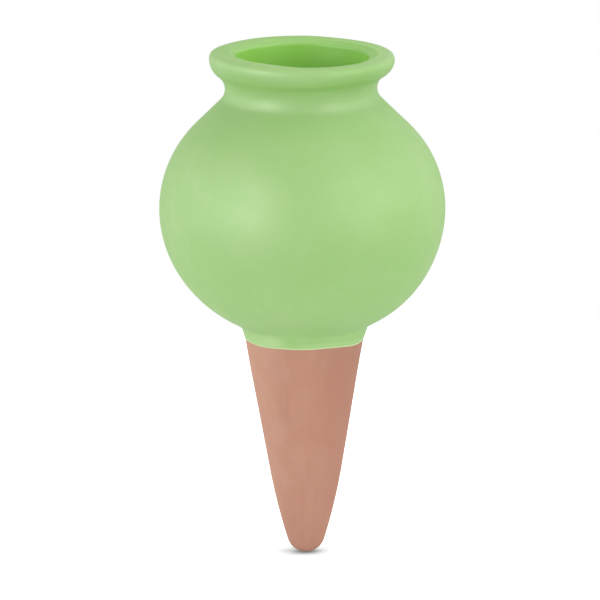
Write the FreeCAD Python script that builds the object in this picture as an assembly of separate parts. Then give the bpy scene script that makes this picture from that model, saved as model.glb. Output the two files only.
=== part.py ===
"""Self watering spike: a glazed clay globe with a rolled rim, luted onto a bare porous clay spike.

Millimetres and degrees. The origin is on the axis at the soil line, where the glaze ends, and +Z points
up through the mouth. Everything is turned about Z, so each piece is drawn as its half section (r, z).

A half section is a chain of rounds. Each round is a circle (r, z, radius) that the outline runs along, and
straight tangents join it to its neighbours. The outline goes up the outside, over the rim and down the
inside, with the clay on its left, so a bulge has a positive radius and a hollow a negative one. A coat
of any thickness over the same clay is the same chain with that thickness added to every radius.
"""
import FreeCAD, Part
import math
import os
from FreeCAD import Vector

# Spike, below the soil line
SPIKE_DEPTH = 48.9        # soil line down to the tip
SOIL_R = 13.28            # radius at the soil line
TIP_R = 4.3               # round of the blunt tip
TIP_FLOOR = 8.0           # solid clay under the channel
CHANNEL_TIP_R = 2.2       # round at the channel's foot
TAPER_DEPTH_SHARE = 0.6       # how far down the straight taper reaches, of the spike's depth
TAPER_R_SHARE = 0.612         # radius where the straight taper ends, of the radius at the soil line
TIP_LIMIT_SHARE = 0.95        # most that the tip's round may take of what fits in the taper

# Collar between the soil line and the globe
COLLAR_H = 3.15           # soil line up to the corner under the globe
COLLAR_FLARE = 0.59       # how much wider the collar is at that corner
BROW_R = 4.0              # soft round where the spike turns into the collar
CORNER_R = 0.8            # round of the corner under the globe

# Globe
GLOBE_R = 32.0            # widest radius of the clay
BELLY_R = 26.2            # round of the belly's side
BASE_R = 29.0             # wider round of the globe's underside
BASE_FROM_DEG = 9.7       # how far below the level the underside's round takes over
SHOULDER_DEG = 44.6       # slope of the straight shoulder
WALL = 2.6                # clay wall of the globe

# Neck and rolled rim
WAIST_R = 16.9            # outside of the neck at its narrowest
NECK_WALL = 1.6           # clay wall there
COVE_R = 4.15             # hollow under the rim
RIM_FLARE = 3.8           # how far the rim stands out past the neck
BULGE_R = 4.0             # round of the rim's underside
LIP_R = 1.3               # round of the rim's upper edge
LIP_W = 3.9               # rim's outside to the ridge round the mouth
LIP_FALL = 0.3            # how far the lip's top falls from its crest to the ridge
RIDGE_R = 0.5             # round of the ridge
BEVEL_FALL = 0.25         # how far the bevel falls from the ridge to the throat
EDGE_R = 0.6              # round where the bevel turns down into the throat

# Joint between spike and globe
SEAM_H = 1.4              # soil line up to the seam
SPIGOT_H = 2.0            # how far the spike's spigot reaches into the globe's socket
SLIP_T = 0.4              # thickness of the slip that fills the joint
SOCKET_SHARE = 0.42       # share of the wall that the socket takes outside the spigot

# Glaze
GLAZE_T = 0.25            # thickness of the coats

OVERRUN = 5.0             # how far every cutting shape runs past the clay
SNAP = 0.0001             # rounds whose ends are closer than this touch with no straight between them

FULL_TURN_DEG = 360
DOWN = (0.0, -1.0)
UP = (0.0, 1.0)


def slope_normal(low, high):
    """Unit normal, on the right hand side, of the straight line from low to high."""
    dr, dz = high[0] - low[0], high[1] - low[1]
    length = math.hypot(dr, dz)
    return (dz / length, -dr / length)


def touch_normal(first, second):
    """Unit normal of the tangent that leads from one round to the next."""
    dr, dz = second[0] - first[0], second[1] - first[1]
    gap = math.hypot(dr, dz)
    lean = math.acos(max(-1.0, min(1.0, (first[2] - second[2]) / gap)))
    heading = math.atan2(dz, dr) - lean
    return (math.cos(heading), math.sin(heading))


def spike_rounds():
    """Tip, ogive and brow: the spike's outside from the tip up to the soil line."""
    soil = (SOIL_R, 0.0)
    taper_end = (SOIL_R * TAPER_R_SHARE, -SPIKE_DEPTH * TAPER_DEPTH_SHARE)
    normal = slope_normal(taper_end, soil)

    # The tip's round stays inside the taper: a sharp point would lie this far in from its line.
    room = normal[0] * taper_end[0] + normal[1] * (taper_end[1] + SPIKE_DEPTH)
    tip_r = min(TIP_R, TIP_LIMIT_SHARE * room / (1 + normal[1]))
    tip = (0.0, tip_r - SPIKE_DEPTH, tip_r)

    # The ogive leaves the taper's end without a kink and closes on the tip's round.
    dr, dz = taper_end[0] - tip[0], taper_end[1] - tip[1]
    reach = dr * normal[0] + dz * normal[1]
    ogive_r = (dr * dr + dz * dz - tip_r * tip_r) / (2 * (reach - tip_r))
    ogive = (taper_end[0] - ogive_r * normal[0], taper_end[1] - ogive_r * normal[1], ogive_r)

    brow = (soil[0] + BROW_R * normal[0], soil[1] + BROW_R * normal[1], -BROW_R)
    return [tip, ogive, brow]


def globe_rounds():
    """Corner, underside and belly: the collar's corner and the globe's outside up to its shoulder."""
    corner = (SOIL_R + COLLAR_FLARE + CORNER_R, COLLAR_H, -CORNER_R)
    turn = math.radians(BASE_FROM_DEG)
    belly_centre_r = GLOBE_R - BELLY_R
    base_centre_r = belly_centre_r - (BASE_R - BELLY_R) * math.cos(turn)
    reach = BASE_R + CORNER_R
    base_centre_z = corner[1] + math.sqrt(reach ** 2 - (corner[0] - base_centre_r) ** 2)
    belly_centre_z = base_centre_z - (BASE_R - BELLY_R) * math.sin(turn)
    base = (base_centre_r, base_centre_z, BASE_R)
    belly = (belly_centre_r, belly_centre_z, BELLY_R)
    return [corner, base, belly]


def neck_rounds(belly):
    """Cove, bulge, lip, ridge and edge: from the shoulder up over the rolled rim to the mouth."""
    slope = math.radians(SHOULDER_DEG)
    cove_r = WAIST_R + COVE_R
    rise = (BELLY_R + COVE_R - (cove_r - belly[0]) * math.sin(slope)) / math.cos(slope)
    cove = (cove_r, belly[1] + rise, -COVE_R)

    rim_r = WAIST_R + RIM_FLARE
    bulge_centre_r = rim_r - BULGE_R
    climb = math.sqrt((BULGE_R + COVE_R) ** 2 - (cove_r - bulge_centre_r) ** 2)
    bulge = (bulge_centre_r, cove[1] + climb, BULGE_R)
    lip = (rim_r - LIP_R, bulge[1], LIP_R)

    ridge_top = lip[1] + LIP_R - LIP_FALL
    ridge = (rim_r - LIP_W, ridge_top - RIDGE_R, RIDGE_R)
    edge = (throat_r() + EDGE_R, ridge_top - BEVEL_FALL - EDGE_R, EDGE_R)
    return [cove, bulge, lip, ridge, edge]


def throat_r():
    """Radius of the clay's bore through the neck."""
    return WAIST_R - NECK_WALL


def inner_rounds(corner, base, belly, cove):
    """Throat, inner belly, inner underside, inner corner and channel foot: the clay's inside, downwards."""
    throat = (cove[0], cove[1], cove[0] - throat_r())
    inner_belly = (belly[0], belly[1], WALL - BELLY_R)
    inner_base = (base[0], base[1], WALL - BASE_R)
    inner_corner = (corner[0], corner[1], WALL + CORNER_R)
    foot = (0.0, TIP_FLOOR + CHANNEL_TIP_R - SPIKE_DEPTH, -CHANNEL_TIP_R)
    return [throat, inner_belly, inner_base, inner_corner, foot]


def point_on(spot, normal, coat):
    """Point of a round, under a coat, where the outline faces along the normal."""
    reach = spot[2] + coat
    return Vector(spot[0] + reach * normal[0], 0, spot[1] + reach * normal[1])


def outline(rounds, first_normal, last_normal, coat=0.0):
    """Arcs and straight tangents along a chain of rounds, under a coat of the given thickness."""
    normals = [first_normal]
    normals += [touch_normal(one, other) for one, other in zip(rounds, rounds[1:])]
    normals += [last_normal]
    edges = []
    end = None
    for spot, into, out in zip(rounds, normals, normals[1:]):
        size = math.hypot(into[0] + out[0], into[1] + out[1])
        middle = ((into[0] + out[0]) / size, (into[1] + out[1]) / size)
        start = point_on(spot, into, coat)
        if end and end.isEqual(start, SNAP):
            start = end
        elif end:
            edges.append(Part.LineSegment(end, start).toShape())
        end = point_on(spot, out, coat)
        edges.append(Part.Arc(start, point_on(spot, middle, coat), end).toShape())
    return edges


def ends(edges):
    """First and last point of a run of edges."""
    return edges[0].firstVertex(True).Point, edges[-1].lastVertex(True).Point


def turned(edges):
    """Solid that a closed half section sweeps about the axis."""
    wire = Part.Wire(Part.sortEdges(edges)[0])
    return Part.Face(wire).revolve(Vector(0, 0, 0), Vector(0, 0, 1), FULL_TURN_DEG)


def clay_body(rounds):
    """The whole clay, spike and globe together, before the joint divides it."""
    section = outline(rounds, DOWN, UP)
    tip, floor = ends(section)
    return turned(section + [Part.LineSegment(floor, tip).toShape()])


def coat_of_glaze(rounds, first_normal, last_normal):
    """Even coat on the stretch of clay that the rounds cover."""
    under = outline(rounds, first_normal, last_normal)
    over = outline(rounds, first_normal, last_normal, GLAZE_T)
    first, last = ends(under), ends(over)
    closers = [Part.LineSegment(a, b).toShape() for a, b in zip(first, last)]
    return turned(under + over + closers)


def below_joint(gap):
    """All that lies below the stepped joint, whose step is moved up and out by the gap."""
    spigot_r = SOIL_R - WALL * SOCKET_SHARE + gap
    seam_z = SEAM_H + gap
    top_z = SEAM_H + SPIGOT_H + gap
    base_z = -SPIKE_DEPTH - OVERRUN
    side_r = GLOBE_R + OVERRUN
    steps = [(side_r, base_z), (side_r, seam_z), (spigot_r, seam_z), (spigot_r, top_z)]
    corners = [(0, base_z)] + steps + [(0, top_z)]
    places = [Vector(r, 0, z) for r, z in corners]
    return turned([Part.LineSegment(a, b).toShape() for a, b in zip(places, places[1:] + places[:1])])


def pieces():
    """Every piece of the object by name."""
    tip, ogive, brow = spike_rounds()
    corner, base, belly = globe_rounds()
    cove, bulge, lip, ridge, edge = neck_rounds(belly)
    throat, inner_belly, inner_base, inner_corner, foot = inner_rounds(corner, base, belly, cove)

    outside = [brow, corner, base, belly, cove, bulge, lip]
    inside = [lip, ridge, edge, throat, inner_belly, inner_base]
    clay = clay_body([tip, ogive] + outside + inside[1:] + [inner_corner, foot])
    spike_side = below_joint(0.0)
    slip_side = below_joint(SLIP_T)
    return {
        "clay_spike": clay.common(spike_side),
        "slip_joint": clay.common(slip_side).cut(spike_side),
        "clay_globe": clay.cut(slip_side),
        "outer_glaze": coat_of_glaze(outside, touch_normal(ogive, brow), UP),
        "inner_glaze": coat_of_glaze(inside, UP, touch_normal(inner_base, inner_corner)),
    }


def main():
    """Write each piece to its own file and print the sizes that the photograph can be held against."""
    os.makedirs("parts", exist_ok=True)
    whole = FreeCAD.BoundBox()
    for name, piece in pieces().items():
        solid = piece.Solids[0]
        solid.exportStep(f"parts/{name}.step")
        whole.add(solid.optimalBoundingBox())
        print(f"{name}: {len(piece.Solids)} solid, {solid.Volume:.1f} mm3, valid {solid.isValid()}")
    print(f"height {whole.ZLength:.2f}, widest {whole.XLength:.2f}, crest {whole.ZMax:.2f}")


main()
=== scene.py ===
"""Looks of the self watering spike: a satin green glazed globe on a bare terracotta spike.

The cone, the globe, the slip between them and both coats of glaze are turned from half sections that
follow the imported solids. They then take the small faults of a hand finished pot: a rim that is not quite
level, a mouth that is not quite in the middle and a glaze line that wanders. One field of faults moves
every piece, so they stay nested. Lengths are in metres; the origin is on the axis at the glaze line.
"""
import logging
import math
from dataclasses import dataclass, field
from enum import Enum
from typing import Callable, Iterable

import bpy
import numpy as np
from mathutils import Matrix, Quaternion, Vector


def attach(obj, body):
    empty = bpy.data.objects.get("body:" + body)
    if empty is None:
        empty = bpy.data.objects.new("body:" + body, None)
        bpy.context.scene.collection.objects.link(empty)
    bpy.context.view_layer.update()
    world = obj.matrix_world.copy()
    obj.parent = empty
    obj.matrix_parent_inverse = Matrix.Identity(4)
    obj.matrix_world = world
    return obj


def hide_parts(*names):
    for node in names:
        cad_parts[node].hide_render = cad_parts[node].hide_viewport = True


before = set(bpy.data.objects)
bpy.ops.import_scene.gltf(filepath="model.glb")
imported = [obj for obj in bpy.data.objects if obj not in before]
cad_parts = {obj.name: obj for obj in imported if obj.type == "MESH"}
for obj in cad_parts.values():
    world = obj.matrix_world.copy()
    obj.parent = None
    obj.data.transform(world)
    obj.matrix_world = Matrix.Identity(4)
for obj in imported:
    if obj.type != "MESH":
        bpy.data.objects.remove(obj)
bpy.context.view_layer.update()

LOG = logging.getLogger("watering_spike")
MM = 0.001
BODY = "root"
SEGMENTS = 192
SMOOTH_ANGLE = math.radians(50)
SAME_PLACE = MM / 1000
DOWN = (0.0, -1.0)
UP = (0.0, 1.0)
WHITE = (1.0, 1.0, 1.0, 1.0)
NOISE_SPAN = (0.3, 0.7)

# Sockets of a Mix node that blends colours: its share and two colours, and its result.
MIX_INPUTS = (0, 6, 7)
MIX_RESULT = 2

Normal = tuple[float, float]
Place = tuple[float, float]
Colour = tuple[float, float, float, float]
Socket = bpy.types.NodeSocket
Feed = Socket | float | tuple


def smooth_step(value: np.ndarray, low: float, high: float) -> np.ndarray:
    """Rises smoothly from 0 at low to 1 at high.

    Args:
        value: where to read the step.
        low: the value at which it starts to rise.
        high: the value at which it is whole.

    Returns:
        The step's height for each value.
    """
    share = np.clip((value - low) / (high - low), 0.0, 1.0)
    return share * share * (3.0 - 2.0 * share)


def swell(value: np.ndarray, centre: float, reach: float) -> np.ndarray:
    """Bell of height 1 at the centre, which has all but died out two reaches away.

    Args:
        value: where to read the bell.
        centre: the value at which it is highest.
        reach: its half width.

    Returns:
        The bell's height for each value.
    """
    return np.exp(-((value - centre) / reach) ** 2)


def angle_from(angle: np.ndarray, centre: float | np.ndarray) -> np.ndarray:
    """Angle from a centre, the short way round.

    Args:
        angle: the angles, about the axis.
        centre: the angle that counts as 0.

    Returns:
        Each angle from the centre, within half a turn either way.
    """
    return np.angle(np.exp(1j * (angle - centre)))


@dataclass(frozen=True)
class Round:
    """Circle that a half section runs along; a hollow has a negative radius."""

    r: float
    z: float
    radius: float

    def point(self, normal: Normal) -> Place:
        """Point at which the outline faces along the normal."""
        return (self.r + self.radius * normal[0], self.z + self.radius * normal[1])

    def leaving(self, other: "Round") -> Normal:
        """Normal of the tangent that leads on to the next round.

        Args:
            other: the next round of the chain.

        Returns:
            The unit normal, which points out of the clay.
        """
        dr, dz = other.r - self.r, other.z - self.z
        cosine = (self.radius - other.radius) / math.hypot(dr, dz)
        heading = math.atan2(dz, dr) - math.acos(max(-1.0, min(1.0, cosine)))
        return (math.cos(heading), math.sin(heading))


@dataclass(frozen=True)
class Station:
    """Sample of an outline: its place, its outward normal and its curvature."""

    r: float
    z: float
    normal: Normal
    curve: float

    def place(self, lift: float = 0.0) -> Place:
        """Place that lies this far out along the normal."""
        return (self.r + lift * self.normal[0], self.z + lift * self.normal[1])

    def turned_to(self, other: "Station") -> float:
        """Angle between this normal and another's, in radians."""
        cosine = self.normal[0] * other.normal[0] + self.normal[1] * other.normal[1]
        return math.acos(max(-1.0, min(1.0, cosine)))


def walk(rounds: list[Round], first: Normal, last: Normal, stride: float) -> list[Station]:
    """Samples a chain of rounds and the straight tangents between them.

    Args:
        rounds: the chain.
        first: outward normal at its start.
        last: outward normal at its end.
        stride: distance between samples.

    Returns:
        The samples in order.
    """
    normals = [first] + [a.leaving(b) for a, b in zip(rounds, rounds[1:])] + [last]
    stations: list[Station] = []
    for spot, into, out in zip(rounds, normals, normals[1:]):
        start = spot.point(into)
        if stations:
            before = stations[-1]
            dr, dz = start[0] - before.r, start[1] - before.z
            steps = math.ceil(math.hypot(dr, dz) / stride)
            for step in range(1, steps):
                share = step / steps
                stations.append(Station(before.r + share * dr, before.z + share * dz, into, 0.0))
        turn = math.atan2(into[0] * out[1] - into[1] * out[0], into[0] * out[0] + into[1] * out[1])
        begin = math.atan2(into[1], into[0])
        steps = max(1, math.ceil(abs(turn * spot.radius) / stride))
        for step in range(steps + 1):
            heading = begin + turn * step / steps
            normal = (math.cos(heading), math.sin(heading))
            stations.append(Station(*spot.point(normal), normal, 1 / spot.radius))
    return stations


def run_lengths(places: Iterable[Place]) -> np.ndarray:
    """Measures along an outline.

    Args:
        places: its places in order.

    Returns:
        The distance of each place from the first, along the outline.
    """
    steps = np.diff(np.array(list(places)), axis=0)
    return np.concatenate(([0.0], np.cumsum(np.hypot(steps[:, 0], steps[:, 1]))))


@dataclass(frozen=True)
class PotForm:
    """Sizes of the clay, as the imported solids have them, and the rounds that they make."""

    spike_depth: float = 48.9 * MM
    soil_r: float = 13.28 * MM
    tip_r: float = 4.3 * MM
    tip_floor: float = 8.0 * MM
    channel_tip_r: float = 2.2 * MM
    taper_depth_share: float = 0.6
    taper_r_share: float = 0.612
    collar_h: float = 3.15 * MM
    collar_flare: float = 0.59 * MM
    brow_r: float = 4.0 * MM
    corner_r: float = 0.8 * MM
    globe_r: float = 32.0 * MM
    belly_r: float = 26.2 * MM
    base_r: float = 29.0 * MM
    base_from: float = math.radians(9.7)
    shoulder: float = math.radians(44.6)
    wall: float = 2.6 * MM
    waist_r: float = 16.9 * MM
    neck_wall: float = 1.6 * MM
    cove_r: float = 4.15 * MM
    rim_flare: float = 3.8 * MM
    bulge_r: float = 4.0 * MM
    lip_r: float = 1.3 * MM
    lip_w: float = 3.9 * MM
    lip_fall: float = 0.3 * MM
    ridge_r: float = 0.5 * MM
    bevel_fall: float = 0.25 * MM
    edge_r: float = 0.6 * MM
    seam_h: float = 1.4 * MM
    spigot_h: float = 2.0 * MM
    slip_t: float = 0.4 * MM
    socket_share: float = 0.42

    @property
    def throat_r(self) -> float:
        """Radius of the clay's bore through the neck."""
        return self.waist_r - self.neck_wall

    @property
    def spigot_r(self) -> float:
        """Outside radius of the spike's spigot."""
        return self.soil_r - self.wall * self.socket_share

    def spike_rounds(self) -> list[Round]:
        """Rounds of the cone, from its tip up to the soil line.

        Returns:
            Tip, ogive and brow.
        """
        end = (self.soil_r * self.taper_r_share, -self.spike_depth * self.taper_depth_share)
        dr, dz = self.soil_r - end[0], -end[1]
        length = math.hypot(dr, dz)
        normal = (dz / length, -dr / length)
        tip = Round(0.0, self.tip_r - self.spike_depth, self.tip_r)
        across, along = end[0] - tip.r, end[1] - tip.z
        reach = across * normal[0] + along * normal[1]
        ogive_r = (across ** 2 + along ** 2 - self.tip_r ** 2) / (2 * (reach - self.tip_r))
        ogive = Round(end[0] - ogive_r * normal[0], end[1] - ogive_r * normal[1], ogive_r)
        brow = Round(self.soil_r + self.brow_r * normal[0], self.brow_r * normal[1], -self.brow_r)
        return [tip, ogive, brow]

    def globe_rounds(self) -> list[Round]:
        """Rounds of the globe, from the collar up to the shoulder.

        Returns:
            Corner, underside and belly.
        """
        corner = Round(self.soil_r + self.collar_flare + self.corner_r, self.collar_h, -self.corner_r)
        belly_r = self.globe_r - self.belly_r
        base_r = belly_r - (self.base_r - self.belly_r) * math.cos(self.base_from)
        base_z = corner.z + math.sqrt((self.base_r + self.corner_r) ** 2 - (corner.r - base_r) ** 2)
        belly_z = base_z - (self.base_r - self.belly_r) * math.sin(self.base_from)
        return [corner, Round(base_r, base_z, self.base_r), Round(belly_r, belly_z, self.belly_r)]

    def neck_rounds(self, belly: Round) -> list[Round]:
        """Rounds of the neck, from the shoulder over the rim to the mouth.

        Args:
            belly: the round that the shoulder leaves.

        Returns:
            Cove, bulge, lip, ridge and edge.
        """
        cove_r = self.waist_r + self.cove_r
        lean = (cove_r - belly.r) * math.sin(self.shoulder)
        cove_z = belly.z + (self.belly_r + self.cove_r - lean) / math.cos(self.shoulder)
        rim_r = self.waist_r + self.rim_flare
        bulge_r = rim_r - self.bulge_r
        bulge_z = cove_z + math.sqrt((self.bulge_r + self.cove_r) ** 2 - (cove_r - bulge_r) ** 2)
        ridge_top = bulge_z + self.lip_r - self.lip_fall
        edge_z = ridge_top - self.bevel_fall - self.edge_r
        return [
            Round(cove_r, cove_z, -self.cove_r),
            Round(bulge_r, bulge_z, self.bulge_r),
            Round(rim_r - self.lip_r, bulge_z, self.lip_r),
            Round(rim_r - self.lip_w, ridge_top - self.ridge_r, self.ridge_r),
            Round(self.throat_r + self.edge_r, edge_z, self.edge_r),
        ]

    def inner_rounds(self, corner: Round, base: Round, belly: Round, cove: Round) -> list[Round]:
        """Rounds of the inside, from the throat down to the foot of the channel.

        Args:
            corner: the corner under the globe.
            base: the globe's underside.
            belly: the globe's side.
            cove: the hollow under the rim.

        Returns:
            Throat, inner belly, inner underside, inner corner and channel foot.
        """
        return [
            Round(cove.r, cove.z, cove.r - self.throat_r),
            Round(belly.r, belly.z, self.wall - self.belly_r),
            Round(base.r, base.z, self.wall - self.base_r),
            Round(corner.r, corner.z, self.wall + self.corner_r),
            Round(0.0, self.tip_floor + self.channel_tip_r - self.spike_depth, -self.channel_tip_r),
        ]

    def outer_chain(self) -> list[Round]:
        """Chain of the whole outside.

        Returns:
            Its rounds, from the tip to the crest of the rim.
        """
        corner, base, belly = self.globe_rounds()
        cove, bulge, lip = self.neck_rounds(belly)[:3]
        return self.spike_rounds() + [corner, base, belly, cove, bulge, lip]

    def inner_chain(self) -> list[Round]:
        """Chain of the whole inside.

        Returns:
            Its rounds, from the crest of the rim to the foot of the channel.
        """
        corner, base, belly = self.globe_rounds()
        cove, _, lip, ridge, edge = self.neck_rounds(belly)
        return [lip, ridge, edge] + self.inner_rounds(corner, base, belly, cove)


@dataclass(frozen=True)
class Sampling:
    """How closely the outlines are sampled: evenly on bare clay, and finer at both ends of a coat."""

    form: PotForm
    stride: float = 0.02 * MM
    spacing: float = 1.0 * MM
    turn: float = math.radians(5)
    edge_zone: float = 1.1 * MM
    edge_spacing: float = 0.06 * MM
    crest_zone: float = 0.12 * MM
    crest_spacing: float = 0.03 * MM
    rim_zone: float = 6.0 * MM
    rim_spacing: float = 0.2 * MM

    def thinned(self, stations: list[Station], spacing: Callable[[float, float], float]) -> list[Station]:
        """Keeps only as many samples as the shape needs.

        Args:
            stations: closely spaced samples.
            spacing: the widest gap allowed at a given distance from the start and to the end.

        Returns:
            The samples that stay, with both ends.
        """
        run = run_lengths(s.place() for s in stations)
        kept, mark = [stations[0]], 0.0
        for here, travelled in zip(stations[1:-1], run[1:-1]):
            gap = spacing(travelled, run[-1] - travelled)
            if travelled - mark >= gap or kept[-1].turned_to(here) >= self.turn:
                kept.append(here)
                mark = travelled
        return kept + [stations[-1]]

    def even(self, travelled: float, left: float) -> float:
        """Gap between samples on bare clay, the same everywhere."""
        return self.spacing

    def for_coat(self, travelled: float, left: float) -> float:
        """Gap between samples on a coat, which is small at its thin end and on the rim.

        Args:
            travelled: distance from the thin end.
            left: distance to the crest of the rim.

        Returns:
            The widest gap allowed there.
        """
        if travelled < self.edge_zone:
            return self.edge_spacing
        if left < self.crest_zone:
            return self.crest_spacing
        return self.rim_spacing if left < self.rim_zone else self.spacing

    def outside(self) -> list[Station]:
        """The clay's outside, from the tip to the crest of the rim."""
        return self.thinned(walk(self.form.outer_chain(), DOWN, UP, self.stride), self.even)

    def inside(self) -> list[Station]:
        """The clay's inside, from the crest of the rim to the foot of the channel."""
        return self.thinned(walk(self.form.inner_chain(), UP, UP, self.stride), self.even)

    def under_outer_coat(self) -> list[Station]:
        """Samples the clay that the outer coat lies on.

        Returns:
            The samples, from the glaze line to the crest.
        """
        _, ogive, brow, *above = self.form.outer_chain()
        chain = walk([brow, *above], ogive.leaving(brow), UP, self.stride)
        return self.thinned(chain, self.for_coat)

    def under_inner_coat(self) -> list[Station]:
        """Samples the clay that the inner coat lies on.

        Returns:
            The samples, from the coat's lower end up to the crest.
        """
        *above, corner, _ = self.form.inner_chain()
        chain = walk(above, UP, above[-1].leaving(corner), self.stride)
        return self.thinned(chain[::-1], self.for_coat)


def cut_at(stations: list[Station], height: float) -> tuple[list[Place], list[Place]]:
    """Cuts a run of samples where it crosses a height.

    Args:
        stations: the samples, which cross the height once.
        height: the z of the cut.

    Returns:
        The places before the cut and those after it, each with the cut's own place.
    """
    places = [s.place() for s in stations]
    for index, (a, b) in enumerate(zip(places, places[1:])):
        if a[1] != b[1] and (a[1] - height) * (b[1] - height) <= 0:
            share = (height - a[1]) / (b[1] - a[1])
            cut = (a[0] + share * (b[0] - a[0]), height)
            return places[: index + 1] + [cut], [cut] + places[index + 1:]
    raise ValueError("the outline does not cross that height")


@dataclass(frozen=True)
class Ripple:
    """Wave that goes round the pot a whole number of times, and may wind as it climbs."""

    waves: int
    height: float
    phase: float
    pitch: float = math.inf

    def at(self, angle: np.ndarray, z: np.ndarray) -> np.ndarray:
        """Height of the wave at each angle and z."""
        return self.height * np.cos(self.waves * angle + self.phase + z / self.pitch)


@dataclass(frozen=True)
class Sway:
    """Stretch of the pot that stands a little to one side."""

    z: float
    reach: float
    shift: float


@dataclass(frozen=True)
class HandFaults:
    """Small faults of a hand finished pot, as one field over space that every piece takes."""

    sways: tuple[Sway, ...] = (
        Sway(65.0 * MM, 4.0 * MM, 0.26 * MM),
        Sway(50.0 * MM, 4.0 * MM, -0.08 * MM),
        Sway(7.0 * MM, 8.5 * MM, 0.30 * MM),
        Sway(-26.0 * MM, 24.0 * MM, 0.15 * MM),
    )
    rim_lifts_mm: tuple[float, ...] = (
        0.33, 0.42, 0.25, -0.33, -0.42, -0.50, -0.42, -0.50, -0.45, -0.08, 0.0, -0.03,
    )
    rim_blur: float = math.radians(20)
    rim_starts: float = 59.5 * MM
    rim_whole: float = 64.8 * MM
    ridge_shift: float = 0.5 * MM
    ridge_r: float = 17.0 * MM
    ridge_reach: float = 1.1 * MM
    ridge_rise: float = 0.14 * MM
    ridge_half: float = 0.45 * MM
    bevel_width: float = 1.0 * MM
    bevel_share: float = 0.7
    mouth_floor: float = 62.0 * MM
    mouth_top: float = 64.4 * MM
    oval: float = 0.06 * MM
    dent: float = 0.03 * MM
    dents: tuple[Ripple, ...] = (Ripple(3, 1.0, -1.9, -11.0 * MM), Ripple(5, 0.6, 2.3, 7.0 * MM))
    core: float = 4.0 * MM

    def moved(self, places: np.ndarray) -> np.ndarray:
        """Where points of the true form come to lie.

        Args:
            places: points, one row each.

        Returns:
            The moved points, one row each.
        """
        x, y, z = places.T
        r = np.hypot(x, y)
        angle = np.arctan2(y, x)
        shift = sum(sway.shift * swell(z, sway.z, sway.reach) for sway in self.sways)
        at_mouth = smooth_step(z, self.mouth_floor, self.mouth_top)
        shift = shift + self.ridge_shift * at_mouth * swell(r, self.ridge_r, self.ridge_reach)

        ripples = sum(ripple.at(angle, z) for ripple in self.dents)
        sunk = ripples - sum(ripple.height for ripple in self.dents)
        growth = self.oval * (np.cos(2 * angle) - 1) + self.dent * sunk * np.sin(angle) ** 2
        grow = 1 + growth / np.maximum(r, self.core)

        lift = self.rim_lift(angle) * smooth_step(z, self.rim_starts, self.rim_whole)
        ridge = swell(r, self.ridge_r, self.ridge_half)
        bevel = swell(r, self.ridge_r - self.bevel_width, self.ridge_half)
        lift += self.ridge_rise * at_mouth * (ridge - self.bevel_share * bevel)
        return np.stack([x * grow + shift, y * grow, z + lift], axis=1)

    def rim_lift(self, angle: np.ndarray) -> np.ndarray:
        """How far the rim stands above its true height, all the way round.

        Args:
            angle: where to read it, about the axis.

        Returns:
            The lift at each angle.
        """
        knots = np.linspace(-math.pi, math.pi, len(self.rim_lifts_mm), endpoint=False)
        weights = swell(angle_from(angle[:, None], knots[None, :]), 0.0, self.rim_blur)
        return weights @ np.array(self.rim_lifts_mm) * MM / weights.sum(1)


@dataclass(frozen=True)
class LineRise:
    """Stretch of the collar where the glaze ends a little higher or lower."""

    angle: float
    spread: float
    rise: float


@dataclass(frozen=True)
class GlazeFlow:
    """How a coat of glaze lies: its thickness, how it feathers out and the wander of its lower line."""

    thickness: float = 0.25 * MM
    crest_t: float = 0.21 * MM
    crest_reach: float = 0.8 * MM
    feather: float = 2.4 * MM
    thin_share: float = 0.3
    pool_share: float = 16.0
    most: float = 2.8
    curve_scale: float = 0.9 * MM
    settle: float = 1.7 * MM
    wander: float = 0.14 * MM
    wander_reach: float = 4.0 * MM
    front_lift: float = 0.24 * MM
    collar_slope: float = 0.18
    waves: tuple[Ripple, ...] = (Ripple(2, 1.0, 1.9), Ripple(3, 0.6, 0.4), Ripple(7, 0.3, 2.0))
    rises: tuple[LineRise, ...] = (
        LineRise(math.radians(-160), math.radians(19), 0.5 * MM),
        LineRise(math.radians(-30), math.radians(17), -0.3 * MM),
    )

    def heights(self, stations: list[Station]) -> np.ndarray:
        """Thickness of the coat over each sample, from its thin end to the crest.

        Args:
            stations: samples of the clay under the coat.

        Returns:
            The thickness over each sample.
        """
        run = run_lengths(s.place() for s in stations)
        bend = np.clip(np.array([s.curve for s in stations]) * self.curve_scale, -1.0, 1.0)
        soft = self.settled(run, bend)
        share = 1 + np.where(soft > 0, -self.thin_share * soft, -self.pool_share * soft ** 3)
        coat = self.thickness * np.clip(share, 1 - self.thin_share, self.most)
        near_crest = swell(run, run[-1], self.crest_reach)
        coat += (self.crest_t - coat) * near_crest
        reached = np.clip(run / self.feather, 0.0, 1.0)
        return coat * reached * (2 - reached)

    def settled(self, run: np.ndarray, values: np.ndarray) -> np.ndarray:
        """Values blurred along the outline, as surface tension does.

        Args:
            run: distance of each sample along the outline.
            values: one value per sample.

        Returns:
            The blurred values.
        """
        weights = swell(run[:, None] - run[None, :], 0.0, self.settle) * np.gradient(run)[None, :]
        return (weights * values[None, :]).sum(1) / weights.sum(1)

    def wandered(self, places: np.ndarray) -> np.ndarray:
        """Outer coat's points with the glaze line no longer level.

        Args:
            places: points of the coat, one row each.

        Returns:
            The moved points.
        """
        x, y, z = places.T
        angle = np.arctan2(y, x)
        wave = sum(ripple.at(angle, z) for ripple in self.waves)
        lift = self.wander * wave * (1 - np.sin(angle)) / 2 - self.front_lift * np.sin(angle)
        for rise in self.rises:
            lift += rise.rise * swell(angle_from(angle, rise.angle), 0.0, rise.spread)
        lift = lift * (1 - smooth_step(z, 0.0, self.wander_reach))
        grow = 1 + self.collar_slope * lift / np.hypot(x, y)
        return np.stack([x * grow, y * grow, z + lift], axis=1)


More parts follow.
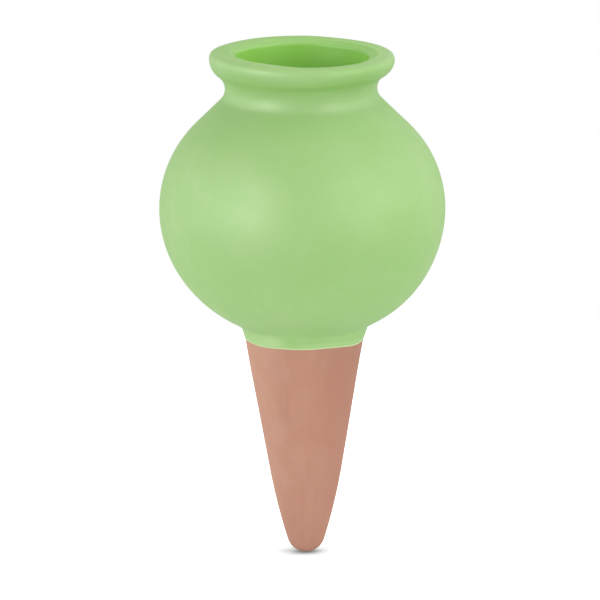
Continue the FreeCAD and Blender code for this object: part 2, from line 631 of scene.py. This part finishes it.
def select_none() -> None:
    """Leave nothing selected, so that the next operator acts on new work alone."""
    if bpy.context.object and bpy.context.object.mode != "OBJECT":
        bpy.ops.object.mode_set(mode="OBJECT")
    bpy.ops.object.select_all(action="DESELECT")


def turn_piece(name: str, section: list[Place], closed: bool) -> bpy.types.Object:
    """Turns a half section about the axis, as on a wheel.

    A small plane is merged to one point, which is drawn along the section and then spun.

    Args:
        name: the piece's name.
        section: its places (r, z) in order.
        closed: whether the last place joins the first; if not, both lie on the axis.

    Returns:
        The new piece, with its place in its mesh.
    """
    select_none()
    bpy.ops.mesh.primitive_plane_add(size=MM, location=(section[0][0], 0.0, section[0][1]))
    piece = bpy.context.object
    piece.name = piece.data.name = name
    bpy.ops.object.mode_set(mode="EDIT")
    bpy.ops.mesh.select_mode(type="VERT")
    bpy.ops.mesh.merge(type="CENTER")
    route = section[1:] + (section[:1] if closed else [])
    for before, here in zip(section, route):
        step = (here[0] - before[0], 0.0, here[1] - before[1])
        bpy.ops.mesh.extrude_region_move(TRANSFORM_OT_translate={"value": step})
    bpy.ops.mesh.select_all(action="SELECT")
    bpy.ops.mesh.remove_doubles(threshold=SAME_PLACE)
    bpy.ops.mesh.select_all(action="SELECT")
    bpy.ops.mesh.spin(steps=SEGMENTS, angle=math.tau, center=(0.0, 0.0, 0.0), axis=(0.0, 0.0, 1.0))
    bpy.ops.mesh.select_all(action="SELECT")
    bpy.ops.mesh.remove_doubles(threshold=SAME_PLACE)
    bpy.ops.mesh.normals_make_consistent(inside=False)
    bpy.ops.object.mode_set(mode="OBJECT")
    bpy.ops.object.transform_apply(location=True, rotation=True, scale=True)
    bpy.ops.object.shade_smooth_by_angle(angle=SMOOTH_ANGLE)
    return piece


def points_of(piece: bpy.types.Object) -> np.ndarray:
    """Reads the points of a piece's mesh.

    Args:
        piece: the piece.

    Returns:
        Its points, one row each.
    """
    flat = np.zeros(len(piece.data.vertices) * 3, np.float32)
    piece.data.vertices.foreach_get("co", flat)
    return flat.reshape(-1, 3).astype(float)


def move_points(piece: bpy.types.Object, places: np.ndarray) -> None:
    """Give every point of a piece's mesh a new place.

    Args:
        piece: the piece.
        places: the new places, one row per point.
    """
    piece.data.vertices.foreach_set("co", places.astype(np.float32).ravel())
    piece.data.update()


def mark_points(piece: bpy.types.Object, name: str, values: np.ndarray) -> None:
    """Store a value on every point of a piece, for its finish to read.

    Args:
        piece: the piece.
        name: the attribute's name.
        values: one value per point.
    """
    layer = piece.data.attributes.new(name, "FLOAT", "POINT")
    layer.data.foreach_set("value", values.astype(np.float32))


class Wiring:
    """Adds nodes to a shader tree and wires them by the names of their sockets."""

    def __init__(self, tree: bpy.types.NodeTree) -> None:
        """Work on a tree."""
        self.tree = tree

    def feed(self, socket: Socket, value: Feed) -> None:
        """Link a socket to another, or set its value.

        Args:
            socket: the input.
            value: another node's output, or a plain value.
        """
        if isinstance(value, bpy.types.NodeSocket):
            self.tree.links.new(value, socket)
        else:
            socket.default_value = value

    def add(self, kind: str, feeds: dict[str, Feed] | None = None, **settings: object) -> bpy.types.Node:
        """Adds a node.

        Args:
            kind: the node's type.
            feeds: what goes into its sockets, by name.
            settings: the node's own settings.

        Returns:
            The node.
        """
        node = self.tree.nodes.new(kind)
        for key, value in settings.items():
            setattr(node, key, value)
        for key, value in (feeds or {}).items():
            self.feed(next(s for s in node.inputs if s.name == key and s.enabled), value)
        return node

    def maths(self, operation: str, first: Feed, second: Feed) -> Socket:
        """Result of arithmetic on two values.

        Args:
            operation: the Math node's operation.
            first: its first value.
            second: its second value.

        Returns:
            The output socket.
        """
        node = self.add("ShaderNodeMath", operation=operation)
        self.feed(node.inputs[0], first)
        self.feed(node.inputs[1], second)
        return node.outputs[0]

    def blend(self, share: Feed, first: Feed, second: Feed) -> Socket:
        """Colour between two colours.

        Args:
            share: how much of the second colour shows.
            first: a colour.
            second: the other colour.

        Returns:
            The output socket.
        """
        node = self.add("ShaderNodeMix", data_type="RGBA")
        for index, value in zip(MIX_INPUTS, (share, first, second)):
            self.feed(node.inputs[index], value)
        return node.outputs[MIX_RESULT]

    def ramp(self, value: Socket, low: Feed, high: Feed, start: float = 0.0, end: float = 1.0) -> Socket:
        """Value spread softly between two ends.

        Args:
            value: the socket to spread.
            low: its value that becomes start.
            high: its value that becomes end.
            start: result at low.
            end: result at high.

        Returns:
            The output socket.
        """
        feeds = {"Value": value, "From Min": low, "From Max": high, "To Min": start, "To Max": end}
        return self.add("ShaderNodeMapRange", feeds, interpolation_type="SMOOTHSTEP").outputs[0]

    def attribute(self, name: str) -> Socket:
        """Value that mark_points stored on the piece."""
        return self.add("ShaderNodeAttribute", attribute_name=name).outputs["Fac"]


class Effect(Enum):
    """Shader groups that more than one finish uses."""

    PATCHES = "patches"
    RELIEF = "relief"


def group_with(name: str, inputs: dict[str, float], output: str) -> tuple[Wiring, bpy.types.Node, Socket]:
    """Starts a shader group of plain values.

    Args:
        name: the group's name.
        inputs: its inputs and their usual values.
        output: name of its output.

    Returns:
        The wiring of its tree, its input node, and the socket that its result goes into.
    """
    tree = bpy.data.node_groups.new(name, "ShaderNodeTree")
    for label, value in inputs.items():
        socket = tree.interface.new_socket(label, in_out="INPUT", socket_type="NodeSocketFloat")
        socket.default_value = value
    tree.interface.new_socket(output, in_out="OUTPUT", socket_type="NodeSocketFloat")
    wiring = Wiring(tree)
    return wiring, wiring.add("NodeGroupInput"), wiring.add("NodeGroupOutput").inputs[output]


def patches_group() -> bpy.types.NodeTree:
    """Makes the group for soft patches of two sizes, which may be drawn out along the axis.

    Returns:
        The group, which puts out a mask about one half.
    """
    inputs = {"Patch Size": 10.0 * MM, "Detail Size": 3.0 * MM, "Detail Share": 0.4, "Stretch": 1.0}
    wiring, given, out = group_with(Effect.PATCHES.value, inputs, "Mask")
    place = wiring.add("ShaderNodeTexCoord").outputs["Object"]
    parts = wiring.add("ShaderNodeSeparateXYZ", {"Vector": place}).outputs
    tall = wiring.maths("DIVIDE", parts["Z"], given.outputs["Stretch"])
    drawn = wiring.add("ShaderNodeCombineXYZ", {"X": parts["X"], "Y": parts["Y"], "Z": tall}).outputs[0]
    masks = []
    for size in ("Patch Size", "Detail Size"):
        scale = wiring.maths("DIVIDE", 1.0, given.outputs[size])
        noise = wiring.add("ShaderNodeTexNoise", {"Vector": drawn, "Scale": scale, "Detail": 3.0})
        masks.append(wiring.ramp(noise.outputs[0], *NOISE_SPAN))
    fine = wiring.maths("MULTIPLY", masks[1], given.outputs["Detail Share"])
    rest = wiring.maths("SUBTRACT", 1.0, given.outputs["Detail Share"])
    broad = wiring.maths("MULTIPLY", masks[0], rest)
    wiring.feed(out, wiring.maths("ADD", broad, fine))
    return wiring.tree


def relief_group() -> bpy.types.NodeTree:
    """Makes the group for relief: broad waves, fine grain and sparse pits.

    Returns:
        The group, which puts out a height in metres.
    """
    inputs = {
        "Wave Size": 6.0 * MM, "Wave Depth": 0.02 * MM,
        "Grain Size": 0.5 * MM, "Grain Depth": 0.005 * MM,
        "Pit Gap": 2.0 * MM, "Pit Width": 0.2 * MM, "Pit Depth": 0.02 * MM,
    }
    wiring, given, out = group_with(Effect.RELIEF.value, inputs, "Height")
    place = wiring.add("ShaderNodeTexCoord").outputs["Object"]
    heights = []
    for size, depth, detail in (("Wave Size", "Wave Depth", 1.0), ("Grain Size", "Grain Depth", 4.0)):
        scale = wiring.maths("DIVIDE", 1.0, given.outputs[size])
        noise = wiring.add("ShaderNodeTexNoise", {"Vector": place, "Scale": scale, "Detail": detail})
        heights.append(wiring.maths("MULTIPLY", noise.outputs[0], given.outputs[depth]))
    scale = wiring.maths("DIVIDE", 1.0, given.outputs["Pit Gap"])
    cells = wiring.add("ShaderNodeTexVoronoi", {"Vector": place, "Scale": scale, "Randomness": 1.0})
    away = wiring.maths("MULTIPLY", cells.outputs["Distance"], given.outputs["Pit Gap"])
    hole = wiring.ramp(away, 0.0, given.outputs["Pit Width"], -1.0, 0.0)
    pits = wiring.maths("MULTIPLY", hole, given.outputs["Pit Depth"])
    wiring.feed(out, wiring.maths("ADD", wiring.maths("ADD", *heights), pits))
    return wiring.tree


class Effects:
    """Builds each shader group once and places it in finishes."""

    def __init__(self) -> None:
        """Build all groups."""
        self.trees = {Effect.PATCHES: patches_group(), Effect.RELIEF: relief_group()}

    def place(self, wiring: Wiring, effect: Effect, **values: float) -> Socket:
        """Places a group in a material.

        Args:
            wiring: the material's wiring.
            effect: which group.
            values: its inputs, named with _ for each space.

        Returns:
            The group's output socket.
        """
        node = wiring.add("ShaderNodeGroup", node_tree=self.trees[effect])
        for key, value in values.items():
            node.inputs[key.replace("_", " ").title()].default_value = value
        return node.outputs[0]

    def raise_relief(self, wiring: Wiring, shader: bpy.types.Node, **sizes: float) -> None:
        """Give a shader its relief.

        Args:
            wiring: the material's wiring.
            shader: the shader.
            sizes: the relief group's inputs, named with _ for each space.
        """
        height = self.place(wiring, Effect.RELIEF, **sizes)
        bump = wiring.add("ShaderNodeBump", {"Height": height, "Distance": 1.0, "Strength": 1.0})
        wiring.feed(shader.inputs["Normal"], bump.outputs[0])


def new_material(name: str) -> tuple[bpy.types.Material, Wiring, bpy.types.Node]:
    """Starts a material with a lone Principled shader.

    Args:
        name: the material's name.

    Returns:
        The material, its wiring and its shader.
    """
    material = bpy.data.materials.new(name)
    material.use_nodes = True
    wiring = Wiring(material.node_tree)
    return material, wiring, material.node_tree.nodes["Principled BSDF"]


@dataclass(frozen=True)
class GreenGlaze:
    """Satin opaque glaze: it deepens where it pools and pales where it thins out; it also carries painted
    shade, painted light, and a painted colour for the shade and bounced light in the mouth.
    """

    name: str = "green_glaze_satin"
    body: Colour = (0.317, 0.529, 0.181, 1.0)
    # Darker green for random patches and real glaze pools, also used as painted shade.
    deep_and_shade: Colour = (0.248, 0.482, 0.121, 1.0)
    thin: Colour = (0.400, 0.600, 0.245, 1.0)
    # Pale green for the thin lower edge of the glaze, also used as painted light.
    line_and_painted_light: Colour = (0.500, 0.680, 0.340, 1.0)
    # Painted colour for the shade and bounced light inside the mouth, a lighter, more saturated copy of the
    # glaze.
    inside: Colour = (0.322, 0.700, 0.100, 1.0)
    patch_span: tuple[float, float] = (0.1, 0.9)
    patch_share: float = 0.3
    thinning_span: tuple[float, float] = (0.95, 0.7)
    thinning_share: float = 0.3
    ior: float = 1.6
    smooth: float = 0.47
    rough: float = 0.55

    def material(self, effects: Effects) -> bpy.types.Material:
        """Wires the glaze.

        Args:
            effects: the shared shader groups.

        Returns:
            The material.
        """
        material, wiring, shader = new_material(self.name)
        patches = effects.place(
            wiring, Effect.PATCHES, patch_size=14.0 * MM, detail_size=2.5 * MM, detail_share=0.3,
        )
        deeper = wiring.ramp(patches, *self.patch_span, 0.0, self.patch_share)
        colour = wiring.blend(deeper, self.body, self.deep_and_shade)
        thinner = wiring.ramp(wiring.attribute("coat"), *self.thinning_span, 0.0, self.thinning_share)
        colour = wiring.blend(thinner, colour, self.thin)
        # Blended over in turn: real pools with painted shade, painted light, the thin glaze edge, and the
        # mouth's painted shade and bounced light.
        marks = {"pool_and_shade": self.deep_and_shade, "painted_light": self.line_and_painted_light, "edge": self.line_and_painted_light, "within": self.inside}
        for mark, shade in marks.items():
            colour = wiring.blend(wiring.attribute(mark), colour, shade)
        wiring.feed(shader.inputs["Base Color"], colour)
        sheen = wiring.ramp(patches, *self.patch_span, self.smooth, self.rough)
        wiring.feed(shader.inputs["Roughness"], sheen)
        shader.inputs["IOR"].default_value = self.ior
        effects.raise_relief(
            wiring, shader, wave_size=5.0 * MM, wave_depth=0.015 * MM, grain_size=0.6 * MM,
            grain_depth=0.0012 * MM, pit_gap=4.5 * MM, pit_width=0.22 * MM, pit_depth=0.02 * MM,
        )
        return material


@dataclass(frozen=True)
class BareClay:
    """Unglazed fired clay: matt, faintly mottled and drawn with upright streaks, with painted light on its
    left side and painted shade on its right.
    """

    name: str = "terracotta_bare"
    body: Colour = (0.459, 0.220, 0.151, 1.0)
    # Paler and darker clay for the mottle and streaks, also used for painted light on the left side and
    # painted shade on the right.
    pale: Colour = (0.500, 0.265, 0.183, 1.0)
    dark: Colour = (0.396, 0.182, 0.123, 1.0)
    bounce: Colour = (0.300, 0.300, 0.300, 1.0)
    mottle_span: tuple[float, float] = (0.15, 0.85)
    mottle_share: float = 0.45
    streak_span: tuple[float, float] = (0.45, 0.95)
    streak_share: float = 0.3
    # Painted light on the left side and painted shade on the right, as the lamps fall on it.
    lit_side: tuple[float, float] = (0.0, 0.45)
    lit_share: float = 0.7
    shaded_side: tuple[float, float] = (0.4, 1.0)
    rough_span: tuple[float, float] = (0.1, 0.9)
    smooth: float = 0.72
    rough: float = 0.9

    def material(self, effects: Effects) -> bpy.types.Material:
        """Wires the clay, which throws back plain grey light, so that it does not tint the glaze.

        Args:
            effects: the shared shader groups.

        Returns:
            The material.
        """
        material, wiring, shader = new_material(self.name)
        mottle = effects.place(
            wiring, Effect.PATCHES,
            patch_size=11.0 * MM, detail_size=3.0 * MM, detail_share=0.35, stretch=1.6,
        )
        streaks = effects.place(
            wiring, Effect.PATCHES,
            patch_size=5.0 * MM, detail_size=1.5 * MM, detail_share=0.35, stretch=6.0,
        )
        mottled = wiring.ramp(mottle, *self.mottle_span, 0.0, self.mottle_share)
        colour = wiring.blend(mottled, self.body, self.pale)
        streaked = wiring.ramp(streaks, *self.streak_span, 0.0, self.streak_share)
        colour = wiring.blend(streaked, colour, self.dark)
        # Painted light on the clay's left and painted shade on its right.
        painted_side_light = wiring.attribute("painted_side_light")
        colour = wiring.blend(wiring.ramp(painted_side_light, *self.lit_side, self.lit_share, 0.0), colour, self.pale)
        colour = wiring.blend(wiring.ramp(painted_side_light, *self.shaded_side), colour, self.dark)
        path = wiring.add("ShaderNodeLightPath").outputs
        bounced = wiring.maths("MAXIMUM", path["Is Diffuse Ray"], path["Is Glossy Ray"])
        colour = wiring.blend(bounced, colour, self.bounce)
        wiring.feed(shader.inputs["Base Color"], colour)
        dullness = wiring.ramp(mottle, *self.rough_span, self.rough, self.smooth)
        wiring.feed(shader.inputs["Roughness"], dullness)
        effects.raise_relief(
            wiring, shader, wave_size=4.0 * MM, wave_depth=0.02 * MM, grain_size=0.4 * MM,
            grain_depth=0.01 * MM, pit_gap=1.4 * MM, pit_width=0.25 * MM, pit_depth=0.03 * MM,
        )
        return material


def hand_over(piece: bpy.types.Object, node: str, material: bpy.types.Material) -> None:
    """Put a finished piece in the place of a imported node.

    Args:
        piece: the piece.
        node: the node that it stands for.
        material: its finish.
    """
    piece.data.materials.clear()
    piece.data.materials.append(material)
    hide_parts(node)
    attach(piece, BODY)
    LOG.info("%s: %d points in place of %s", piece.name, len(piece.data.vertices), node)


@dataclass
class ClayBody:
    """Cone and globe of terracotta, with the slip that joins the spigot to the socket."""

    form: PotForm
    sampling: Sampling
    faults: HandFaults
    clay: BareClay = field(default_factory=BareClay)
    slip: BareClay = field(default_factory=lambda: BareClay(
        name="slip_fired", streak_share=0.0,
        body=(0.520, 0.250, 0.175, 1.0), pale=(0.570, 0.300, 0.220, 1.0),
    ))

    def joint(self, gap: float) -> tuple[Place, Place]:
        """Foot and top of the stepped joint's upright wall, set off by a gap."""
        r = self.form.spigot_r + gap
        return (r, self.form.seam_h + gap), (r, self.form.seam_h + self.form.spigot_h + gap)

    def build(self) -> dict[str, bpy.types.Object]:
        """Turns the three pieces.

        Returns:
            The pieces by the node that each stands for.
        """
        outside, inside = self.sampling.outside(), self.sampling.inside()
        low_foot, low_top = self.joint(0.0)
        high_foot, high_top = self.joint(self.form.slip_t)
        cone_out, _ = cut_at(outside, low_foot[1])
        _, cone_in = cut_at(inside, low_top[1])
        _, globe_out = cut_at(outside, high_foot[1])
        globe_in, _ = cut_at(inside, high_top[1])
        cone = cone_out + [low_foot, low_top] + cone_in
        globe = globe_out + globe_in[1:] + [high_top, high_foot]
        ring = [cone_out[-1], globe_out[0], high_foot, high_top, globe_in[-1], cone_in[0], low_top, low_foot]
        pieces = {
            "clay_spike": turn_piece("spike_of_clay", cone, closed=False),
            "clay_globe": turn_piece("globe_of_clay", globe, closed=True),
            "slip_joint": turn_piece("ring_of_slip", ring, closed=True),
        }
        for piece in pieces.values():
            # Mark how far each point lies from left to right, for the painted light and shade of the clay's
            # sides.
            across = points_of(piece)[:, 0]
            mark_points(piece, "painted_side_light", np.clip(0.5 + 0.5 * across / self.form.soil_r, 0.0, 1.0))
            move_points(piece, self.faults.moved(points_of(piece)))
        return pieces

    def dress(self, pieces: dict[str, bpy.types.Object], effects: Effects) -> None:
        """Finish the three pieces and put them in place of their nodes.

        Args:
            pieces: what build made.
            effects: the shared shader groups.
        """
        clay = self.clay.material(effects)
        hand_over(pieces["clay_spike"], "clay_spike", clay)
        hand_over(pieces["clay_globe"], "clay_globe", clay)
        hand_over(pieces["slip_joint"], "slip_joint", self.slip.material(effects))


def nearest(points: np.ndarray, outline: np.ndarray, batches: int) -> np.ndarray:
    """Finds the place of an outline that each point lies at.

    Args:
        points: points (r, z), one row each.
        outline: the outline's places, one row each.
        batches: how many parts the points are taken in, to save memory.

    Returns:
        The row of the nearest place, for each point.
    """
    rows = []
    for batch in np.array_split(points, batches):
        apart = ((batch[:, None, :] - outline[None, :, :]) ** 2).sum(2)
        rows.append(apart.argmin(1))
    return np.concatenate(rows)


@dataclass(frozen=True)
class SoftSpot:
    """Place on a coat, with soft edges, that is painted darker or paler; it serves for real glaze pools on
    the collar, for painted shade and for painted light.
    """

    angle: float
    z: float
    spread: float
    height: float
    strength: float

    def over(self, points: np.ndarray) -> np.ndarray:
        """How much of the spot reaches each point.

        Args:
            points: the points, one row each.

        Returns:
            One value per point, up to the spot's strength.
        """
        x, y, z = points.T
        sideways = swell(angle_from(np.arctan2(y, x), self.angle), 0.0, self.spread)
        return self.strength * sideways * swell(z, self.z, self.height)


@dataclass
class GlazeCoats:
    """Outer and inner coat of green glaze, which meet on the crest of the rim."""

    sampling: Sampling
    faults: HandFaults
    flow: GlazeFlow = field(default_factory=GlazeFlow)
    glaze: GreenGlaze = field(default_factory=GreenGlaze)
    line_width: float = 0.3 * MM
    line_span: tuple[float, float] = (0.3, 1.4)
    batches: int = 40
    # Where the mouth's painted shade and bounced light reach: down from the mouth, and a trace on the rim
    # top.
    mouth_z: float = 65.7 * MM
    mouth_fade: float = 1.2 * MM
    crest_r: float = 19.4 * MM
    crest_fade: float = 1.5 * MM
    crest_share: float = 0.2
    bevel_r: float = 16.5 * MM
    bevel_fade: float = 0.4 * MM
    bevel_z: float = 62.0 * MM
    # Painted shade on the bevel inside the ridge, centred at this angle on the right side.
    bevel_angle: float = math.radians(25)
    bevel_spread: float = math.radians(60)
    bevel_shade: float = 0.9
    # Painted light: a lit streak on the collar's left, the light bands at the foot of the neck, and a
    # highlight on the ridge at the right.
    painted_light: tuple[SoftSpot, ...] = (
        SoftSpot(math.radians(-125), 1.7 * MM, math.radians(13), 1.2 * MM, 0.45),
        SoftSpot(math.radians(-118), 55.9 * MM, math.radians(26), 0.9 * MM, 0.3),
        SoftSpot(math.radians(-62), 55.7 * MM, math.radians(22), 0.9 * MM, 0.32),
        SoftSpot(math.radians(5), 66.0 * MM, math.radians(40), 0.5 * MM, 0.25),
    )
    # Real glaze pools round the collar first; the rest is painted shade under the rim, on the rim's right
    # and left, under the neck and on the lower right of the belly.
    pools_and_shade: tuple[SoftSpot, ...] = (
        SoftSpot(math.radians(-104), 1.9 * MM, math.radians(8), 1.4 * MM, 0.6),
        SoftSpot(math.radians(-15), 2.2 * MM, math.radians(14), 1.5 * MM, 0.5),
        SoftSpot(math.radians(75), 1.7 * MM, math.radians(18), 1.4 * MM, 0.7),
        SoftSpot(math.radians(160), 2.1 * MM, math.radians(12), 1.6 * MM, 0.6),
        SoftSpot(math.radians(-90), 61.0 * MM, math.radians(360), 2.0 * MM, 0.4),
        SoftSpot(math.radians(-48), 63.3 * MM, math.radians(28), 2.3 * MM, 1.0),
        SoftSpot(math.radians(-132), 63.2 * MM, math.radians(24), 1.6 * MM, 0.55),
        SoftSpot(math.radians(-88), 52.5 * MM, math.radians(40), 3.0 * MM, 0.3),
        SoftSpot(math.radians(-62), 20.0 * MM, math.radians(38), 10.0 * MM, 0.3),
    )

    def coat(self, name: str, stations: list[Station]) -> bpy.types.Object:
        """Turns one coat and marks how thick it is and how near its end.

        Args:
            name: the piece's name.
            stations: samples of the clay under it, from its thin end to the crest.

        Returns:
            The piece, still without faults.
        """
        heights = self.flow.heights(stations)
        skin = [s.place(h) for s, h in zip(stations, heights)]
        back = [s.place() for s in stations]
        piece = turn_piece(name, skin + back[:0:-1], closed=True)
        x, y, z = points_of(piece).T
        flat = np.stack([np.hypot(x, y), z], axis=1)
        near = nearest(flat, np.array(skin + back), self.batches) % len(stations)
        run = run_lengths(s.place() for s in stations)[near]
        mark_points(piece, "coat", heights[near] / self.flow.thickness)
        line_ends = [share * self.line_width for share in self.line_span]
        mark_points(piece, "edge", 1 - smooth_step(run, *line_ends))
        return piece

    def mark_pools_shade_and_light(self, piece: bpy.types.Object) -> None:
        """Store on every point how much painted light it takes, and how much darker green: real glaze pools
        on the collar, and painted shade under the rim, on its sides, under the neck, on the lower right of
        the belly and on one side of the bevel.

        Args:
            piece: the piece.
        """
        points = points_of(piece)
        x, y, z = points.T
        inside_ridge = 1 - smooth_step(np.hypot(x, y), self.bevel_r, self.bevel_r + self.bevel_fade)
        on_bevel = inside_ridge * (z > self.bevel_z)
        # Painted light, kept off the bevel.
        painted_light = sum(spot.over(points) for spot in self.painted_light)
        mark_points(piece, "painted_light", painted_light * (1 - on_bevel))
        # Painted shade on the bevel's right side, where the lamps leave it darker.
        sideways = swell(angle_from(np.arctan2(y, x), self.bevel_angle), 0.0, self.bevel_spread)
        deep_and_shade = sum(spot.over(points) for spot in self.pools_and_shade) + self.bevel_shade * on_bevel * sideways
        mark_points(piece, "pool_and_shade", np.clip(deep_and_shade, 0.0, 1.0))

    def mark_within(self, piece: bpy.types.Object, share: float) -> None:
        """Store on every point how much of the mouth's painted colour it has, which stands in for the shade
        and bounced light there: all inside, a trace on the rim top.

        Args:
            piece: the piece.
            share: how much of it the whole coat takes: 1 for the inner coat and 0 for the outer.
        """
        x, y, z = points_of(piece).T
        on_top = self.crest_share * smooth_step(self.crest_r - np.hypot(x, y), 0.0, self.crest_fade)
        deep_down = 1 - smooth_step(z, self.mouth_z - self.mouth_fade, self.mouth_z)
        mark_points(piece, "within", share * np.maximum(on_top, deep_down))

    def build(self) -> dict[str, bpy.types.Object]:
        """Turns both coats.

        Returns:
            The pieces by the node that each stands for.
        """
        outer = self.coat("coat_outside", self.sampling.under_outer_coat())
        inner = self.coat("coat_inside", self.sampling.under_inner_coat())
        for piece, share in ((outer, 0.0), (inner, 1.0)):
            self.mark_pools_shade_and_light(piece)
            self.mark_within(piece, share)
        move_points(outer, self.faults.moved(self.flow.wandered(points_of(outer))))
        move_points(inner, self.faults.moved(points_of(inner)))
        return {"outer_glaze": outer, "inner_glaze": inner}

    def dress(self, pieces: dict[str, bpy.types.Object], effects: Effects) -> None:
        """Finish both coats and put them in place of their nodes.

        Args:
            pieces: what build made.
            effects: the shared shader groups.
        """
        glaze = self.glaze.material(effects)
        for node, piece in pieces.items():
            hand_over(piece, node, glaze)


class Lights(Enum):
    """What a softbox lights: all of a surface's look, its colour alone or its sheen alone."""

    ALL = "all"
    COLOUR = "colour"
    SHEEN = "sheen"


@dataclass(frozen=True)
class Softbox:
    """Square lamp that faces the pot; its glow is its brightness, whatever its size."""

    name: str
    towards: tuple[float, float, float]
    side: float
    glow: float
    lights: Lights = Lights.ALL


@dataclass
class Studio:
    """White table, softboxes and the camera of a plain product picture."""

    floor_z: float
    floor_side: float = 0.5
    floor_colour: Colour = (0.92, 0.92, 0.92, 1.0)
    floor_seen: Colour = (1.36, 1.36, 1.36, 1.0)
    floor_mirrored: Colour = (0.6, 0.6, 0.6, 1.0)
    floor_glow: float = 0.19
    contact_reach: float = 6.0 * MM
    contact_samples: int = 16
    surroundings: float = 0.74
    mirrored_level: float = 0.7
    mirrored_high: float = 0.33
    mirrored_band: tuple[float, float] = (0.15, 0.55)
    lamp_distance: float = 0.7
    softboxes: tuple[Softbox, ...] = (
        Softbox("softbox_left", (-0.74, -0.646, 0.22), 0.30, 3.0),
        Softbox("softbox_left_sheen", (-0.78, -0.58, 0.24), 0.60, 3.1, Lights.SHEEN),
        Softbox("softbox_right", (0.78, -0.54, 0.38), 0.34, 2.9),
        Softbox("softbox_right_sheen", (0.79, -0.56, 0.30), 0.50, 1.4, Lights.SHEEN),
        Softbox("softbox_far_left", (-0.9, 0.3, 0.14), 0.45, 1.6),
        Softbox("softbox_far_right", (0.88, 0.3, 0.4), 0.45, 1.0),
        Softbox("softbox_above", (0.25, -0.1, 0.93), 0.50, 1.5, Lights.COLOUR),
    )
    target: tuple[float, float, float] = (-0.73 * MM, 0.0, 9.03 * MM)
    distance: float = 6.0
    elevation: float = math.radians(11.6)
    roll: float = math.radians(-0.599)
    field_width: float = 135.3 * MM
    sensor: float = 36.0
    clip_end: float = 20.0

    def lay_floor(self) -> None:
        """Lay the white table, which glows a little and so lights the pot from below.

        The camera sees it whiter than the pot does, with the tip's soft contact shadow.
        """
        select_none()
        bpy.ops.mesh.primitive_plane_add(size=self.floor_side, location=(0.0, 0.0, self.floor_z))
        floor = bpy.context.object
        floor.name = "floor"
        material = bpy.data.materials.new("floor_white")
        material.use_nodes = True
        wiring = Wiring(material.node_tree)
        material.node_tree.nodes.clear()
        path = wiring.add("ShaderNodeLightPath").outputs
        contact = {"Color": self.floor_seen, "Distance": self.contact_reach}
        shade = wiring.add("ShaderNodeAmbientOcclusion", contact, samples=self.contact_samples)
        colour = wiring.blend(path["Is Camera Ray"], self.floor_colour, shade.outputs["Color"])
        colour = wiring.blend(path["Is Glossy Ray"], colour, self.floor_mirrored)
        diffuse = wiring.add("ShaderNodeBsdfDiffuse", {"Color": colour})
        strength = wiring.ramp(path["Is Glossy Ray"], 0.0, 1.0, self.floor_glow, 0.0)
        glow = wiring.add("ShaderNodeEmission", {"Color": WHITE, "Strength": strength})
        both = wiring.add("ShaderNodeAddShader")
        wiring.feed(both.inputs[0], diffuse.outputs[0])
        wiring.feed(both.inputs[1], glow.outputs[0])
        wiring.add("ShaderNodeOutputMaterial", {"Surface": both.outputs[0]})
        floor.data.materials.append(material)

    def fill_surroundings(self) -> None:
        """Fill the room with light: white to the camera, softer on the pot, and mirrored as a level band."""
        world = bpy.data.worlds.new("white_room")
        bpy.context.scene.world = world
        world.use_nodes = True
        world.node_tree.nodes.clear()
        wiring = Wiring(world.node_tree)
        path = wiring.add("ShaderNodeLightPath").outputs
        seen = wiring.maths("MULTIPLY", path["Is Camera Ray"], 1 - self.surroundings)
        towards = wiring.add("ShaderNodeTexCoord").outputs["Generated"]
        height = wiring.add("ShaderNodeSeparateXYZ", {"Vector": towards}).outputs["Z"]
        steep = wiring.maths("ABSOLUTE", height, 0.0)
        level, high = self.mirrored_level - self.surroundings, self.mirrored_high - self.surroundings
        band = wiring.ramp(steep, *self.mirrored_band, level, high)
        mirrored = wiring.maths("MULTIPLY", path["Is Glossy Ray"], band)
        strength = wiring.maths("ADD", wiring.maths("ADD", seen, mirrored), self.surroundings)
        sky = wiring.add("ShaderNodeBackground", {"Color": WHITE, "Strength": strength})
        wiring.add("ShaderNodeOutputWorld", {"Surface": sky.outputs[0]})

    def hang_softboxes(self) -> None:
        """Hang each softbox so that it faces the pot."""
        for box in self.softboxes:
            select_none()
            towards = Vector(box.towards).normalized()
            turn = towards.to_track_quat("Z", "Y").to_euler()
            bpy.ops.object.light_add(type="AREA", location=towards * self.lamp_distance, rotation=turn)
            lamp = bpy.context.object
            lamp.name = box.name
            lamp.data.size = box.side
            lamp.visible_glossy = box.lights is not Lights.COLOUR
            lamp.visible_diffuse = box.lights is not Lights.SHEEN
            lamp.data.energy = box.glow * math.pi * box.side ** 2

    def place_camera(self) -> None:
        """Put the camera at the photograph's angle."""
        select_none()
        away = Vector((0.0, -math.cos(self.elevation), math.sin(self.elevation)))
        turn = away.to_track_quat("Z", "Y") @ Quaternion((0.0, 0.0, 1.0), self.roll)
        place = Vector(self.target) + self.distance * away
        bpy.ops.object.camera_add(location=place, rotation=turn.to_euler())
        camera = bpy.context.object
        camera.name = "camera"
        camera.data.sensor_width = self.sensor
        camera.data.lens = self.sensor * self.distance / self.field_width
        camera.data.clip_end = self.clip_end
        bpy.context.scene.camera = camera

    def set_up(self) -> None:
        """Make the whole studio."""
        self.lay_floor()
        self.fill_surroundings()
        self.hang_softboxes()
        self.place_camera()
        bpy.context.scene.view_settings.view_transform = "Standard"


def main() -> None:
    """Build the pot's sub-assemblies in order, then the studio round it."""
    logging.basicConfig(level=logging.INFO, format="%(name)s: %(message)s")
    form = PotForm()
    sampling = Sampling(form)
    faults = HandFaults()
    effects = Effects()
    for assembly in (ClayBody(form, sampling, faults), GlazeCoats(sampling, faults)):
        pieces = assembly.build()
        assembly.dress(pieces, effects)
        LOG.info("%s done", type(assembly).__name__)
    Studio(floor_z=-form.spike_depth).set_up()
    LOG.info("studio done")


if __name__ == "__main__":
    main()
